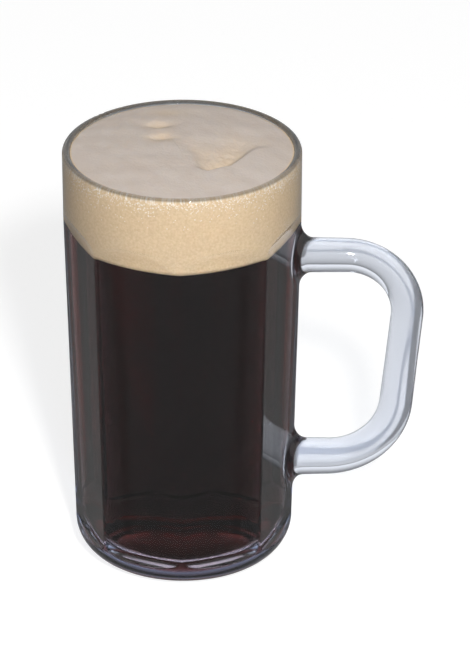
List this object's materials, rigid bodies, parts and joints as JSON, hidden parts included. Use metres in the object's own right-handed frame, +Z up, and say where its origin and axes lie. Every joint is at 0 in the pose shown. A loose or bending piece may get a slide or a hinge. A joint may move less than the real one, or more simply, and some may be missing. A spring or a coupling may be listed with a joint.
{
  "type": "pint of black lager",
  "caption": "Clear pressed-glass handled mug with flat arched panels, filled to the rim with near-black lager under a tan foam head.",
  "frame": {"origin": "middle of the foot, on the mug's axis, at the height of what it stands on", "axes": "+Z up along the mug's axis; +X towards the handle; -Y is the side seen with the handle at the right"},
  "size_m": [0.1332, 0.0878, 0.1652],
  "materials": {
    "glass": "clear polished",
    "dark_lager": "clear dark liquid",
    "foam": "fine soft foam"
  },
  "bodies": {
    "root": {"mug": "glass", "lager": "dark_lager", "foam": "foam"}
  },
  "joints": []
}
